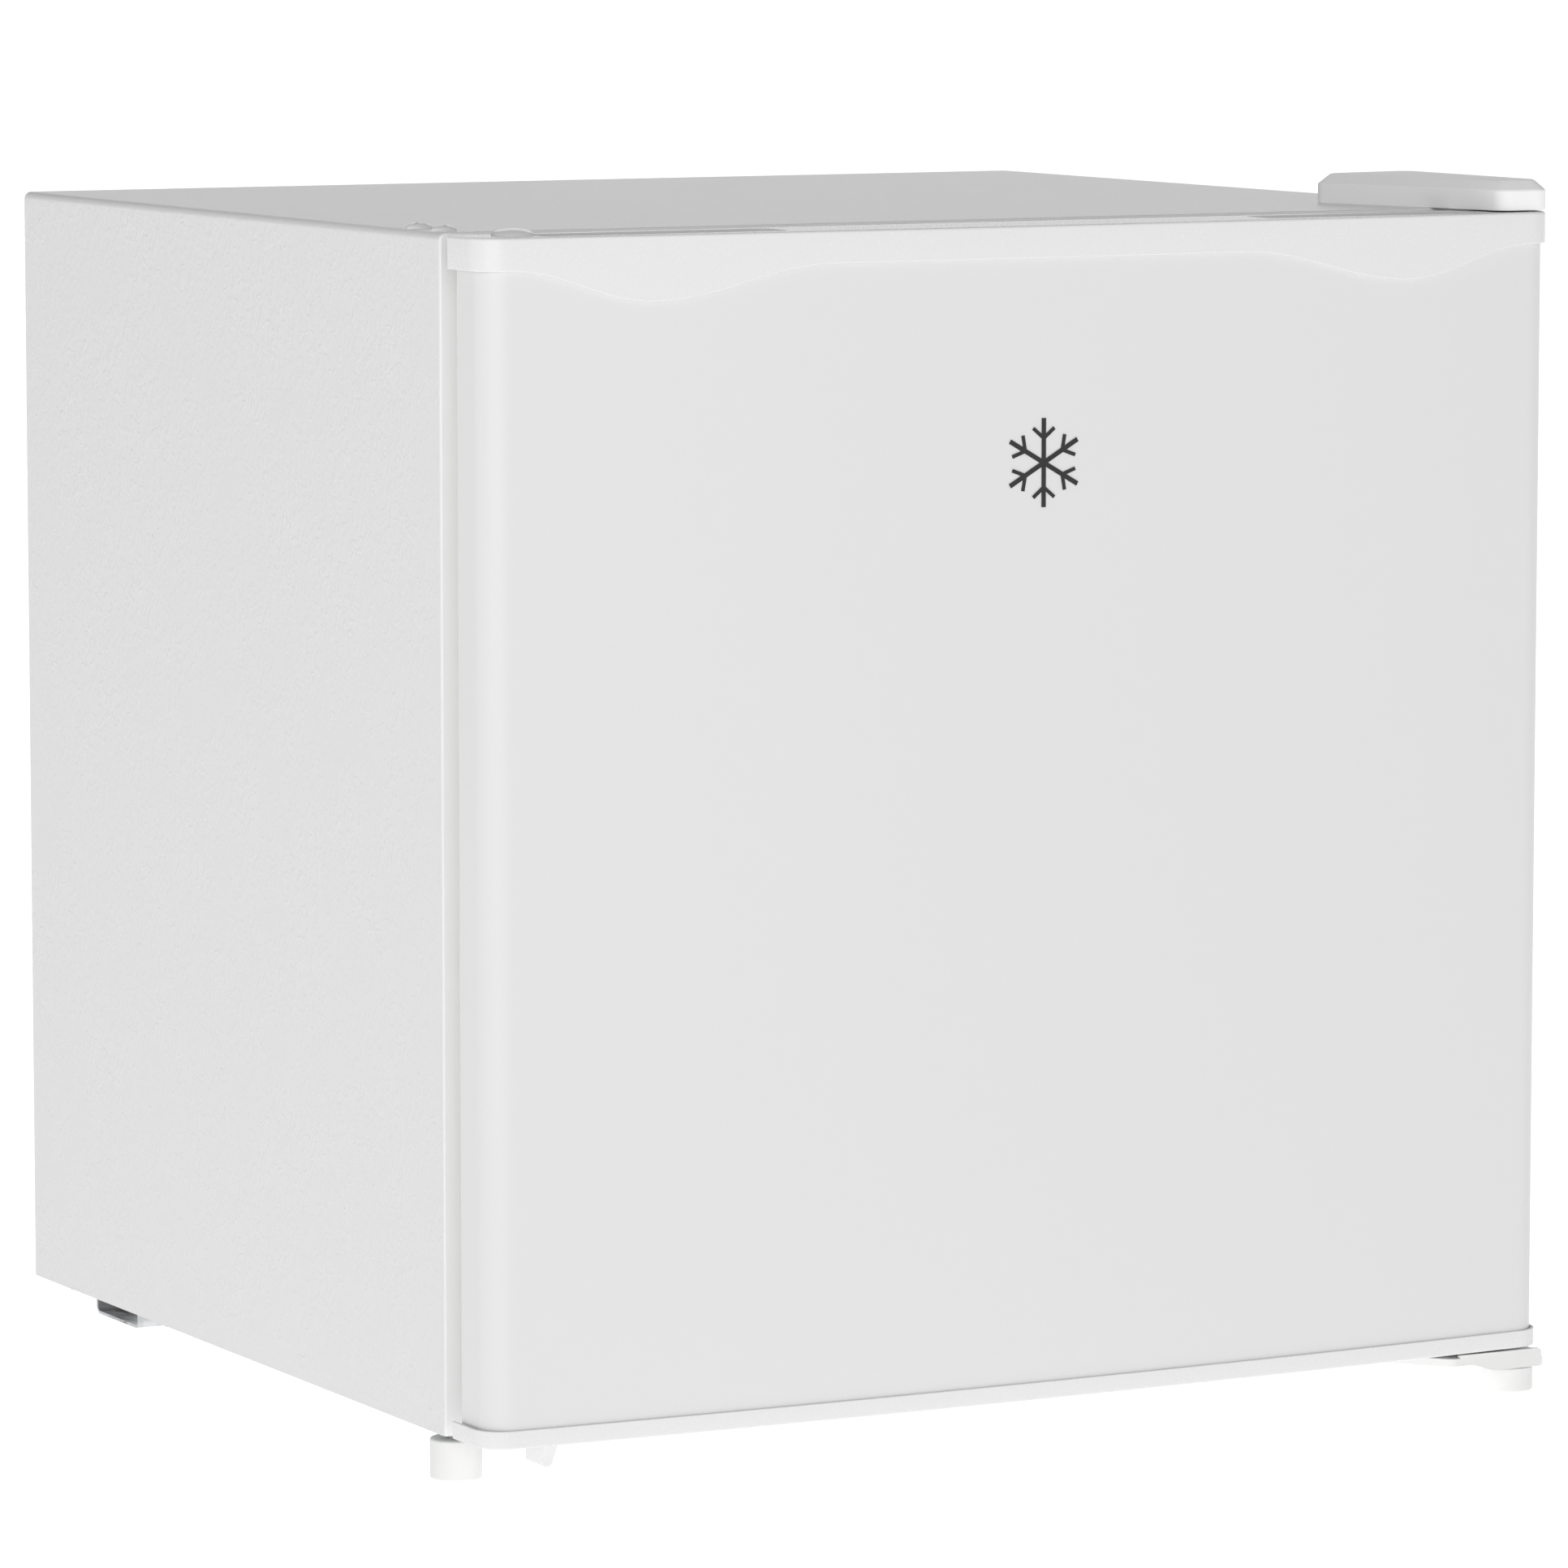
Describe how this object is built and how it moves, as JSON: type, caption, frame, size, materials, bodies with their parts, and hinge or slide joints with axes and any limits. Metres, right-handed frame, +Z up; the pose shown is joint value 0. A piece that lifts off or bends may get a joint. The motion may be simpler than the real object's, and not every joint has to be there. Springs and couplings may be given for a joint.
{
  "type": "mini fridge",
  "caption": "Cube-shaped mini fridge with a bowed front door, wavy top cap with finger scoops, freezer box, wire shelf, door racks and screw feet.",
  "frame": {"origin": "on the floor, under the middle of the outline", "axes": "+Z up, the door faces -Y, +X to the right seen from the front"},
  "size_m": [0.47, 0.442, 0.484],
  "materials": {
    "painted_steel": "satin",
    "galvanised_steel": "satin",
    "white_plastic": "satin",
    "liner_plastic": "gloss",
    "foam": "matte",
    "copper": "satin",
    "zinc_steel": "satin",
    "black_steel": "satin",
    "rubber": "matte",
    "black_plastic": "matte",
    "aluminium": "satin",
    "grey_plastic": "matte",
    "gasket_vinyl": "satin",
    "magnet": "matte",
    "nylon": "satin",
    "badge_ink": "satin",
    "clear_plastic": "gloss",
    "coated_wire": "gloss",
    "chrome_wire": "polished"
  },
  "bodies": {
    "cabinet": {"outer_shell": "painted_steel", "back_panel": "painted_steel", "bottom_panel": "galvanised_steel", "front_rail": "painted_steel", "bay_panel": "galvanised_steel", "inner_liner": "liner_plastic", "insulation_foam": "foam", "condenser_coil": "copper", "screw_caps": "white_plastic", "top_hinge": "zinc_steel", "top_hinge_screws": "zinc_steel", "hinge_cover": "white_plastic", "lower_hinge": "painted_steel", "lower_hinge_screws": "zinc_steel", "foot_insert": "grey_plastic", "base_plate": "galvanised_steel", "base_plate_screws": "zinc_steel", "compressor": "black_steel", "compressor_grommets": "rubber", "compressor_bolts": "zinc_steel", "starter_box": "black_plastic", "cord_gland": "black_plastic", "discharge_tube": "copper", "suction_tube": "copper", "filter_drier": "copper", "evaporation_tray": "grey_plastic", "drain_tube": "white_plastic", "freezer_box": "aluminium", "freezer_mounts": "white_plastic", "freezer_frame": "white_plastic", "tray_rails": "white_plastic", "thermostat_housing": "white_plastic", "thermostat": "zinc_steel", "sensor_bulb": "copper"},
    "door": {"door_skin": "painted_steel", "top_cap": "white_plastic", "bottom_cap": "white_plastic", "door_liner": "liner_plastic", "door_foam": "foam", "gasket": "gasket_vinyl", "magnet_strips": "magnet", "hinge_bushes": "nylon", "socket_plug": "white_plastic", "door_stop": "white_plastic", "emblem": "badge_ink"},
    "upper_door_rack": {"upper_rack": "clear_plastic"},
    "lower_door_rack": {"lower_rack": "clear_plastic", "bottle_rail": "chrome_wire"},
    "freezer_door": {"freezer_flap": "white_plastic"},
    "melt_tray": {"drip_tray": "clear_plastic"},
    "shelf": {"wire_shelf": "coated_wire"},
    "knob": {"thermostat_knob": "white_plastic"},
    "left_foot_screw": {"left_foot_stud": "zinc_steel"},
    "left_foot_grip": {"left_foot_pad": "white_plastic"},
    "right_foot_screw": {"right_foot_stud": "zinc_steel"},
    "right_foot_grip": {"right_foot_pad": "white_plastic"}
  },
  "joints": [
    {"name": "door_swing", "type": "hinge", "parent": "cabinet", "child": "door", "pos_m": [0.221, -0.1945, 0.245], "axis": [0, 0, 1], "range_deg": [0, 110]},
    {"name": "upper_rack_lift", "type": "slide", "parent": "door", "child": "upper_door_rack", "axis": [0, 0, 1], "range_m": [0, 0.012]},
    {"name": "lower_rack_lift", "type": "slide", "parent": "door", "child": "lower_door_rack", "axis": [0, 0, 1], "range_m": [0, 0.012]},
    {"name": "freezer_flap_swing", "type": "hinge", "parent": "cabinet", "child": "freezer_door", "pos_m": [-0.045, -0.0845, 0.421], "axis": [-1, 0, 0], "range_deg": [0, 85]},
    {"name": "melt_tray_slide", "type": "slide", "parent": "cabinet", "child": "melt_tray", "axis": [0, -1, 0], "range_m": [0, 0.075]},
    {"name": "shelf_slide", "type": "slide", "parent": "cabinet", "child": "shelf", "axis": [0, -1, 0], "range_m": [0, 0.055]},
    {"name": "thermostat_turn", "type": "hinge", "parent": "cabinet", "child": "knob", "pos_m": [0.153, -0.07, 0.392], "axis": [0, -1, 0], "range_deg": [0, 270]},
    {"name": "left_foot_height", "type": "slide", "parent": "cabinet", "child": "left_foot_screw", "axis": [0, 0, -1], "range_m": [0, 0.004]},
    {"name": "left_foot_turn", "type": "hinge", "parent": "left_foot_screw", "child": "left_foot_grip", "pos_m": [-0.225, -0.168, 0], "axis": [0, 0, -1], "range_deg": [0, 1152.5]},
    {"name": "right_foot_height", "type": "slide", "parent": "cabinet", "child": "right_foot_screw", "axis": [0, 0, -1], "range_m": [0, 0.004]},
    {"name": "right_foot_turn", "type": "hinge", "parent": "right_foot_screw", "child": "right_foot_grip", "pos_m": [0.225, -0.203, 0], "axis": [0, 0, -1], "range_deg": [0, 1152.5]}
  ],
  "couplings": [
    {"joint": "left_foot_turn", "follows": "left_foot_height", "rad_per_m": 5026.5},
    {"joint": "right_foot_turn", "follows": "right_foot_height", "rad_per_m": 5026.5}
  ]
}
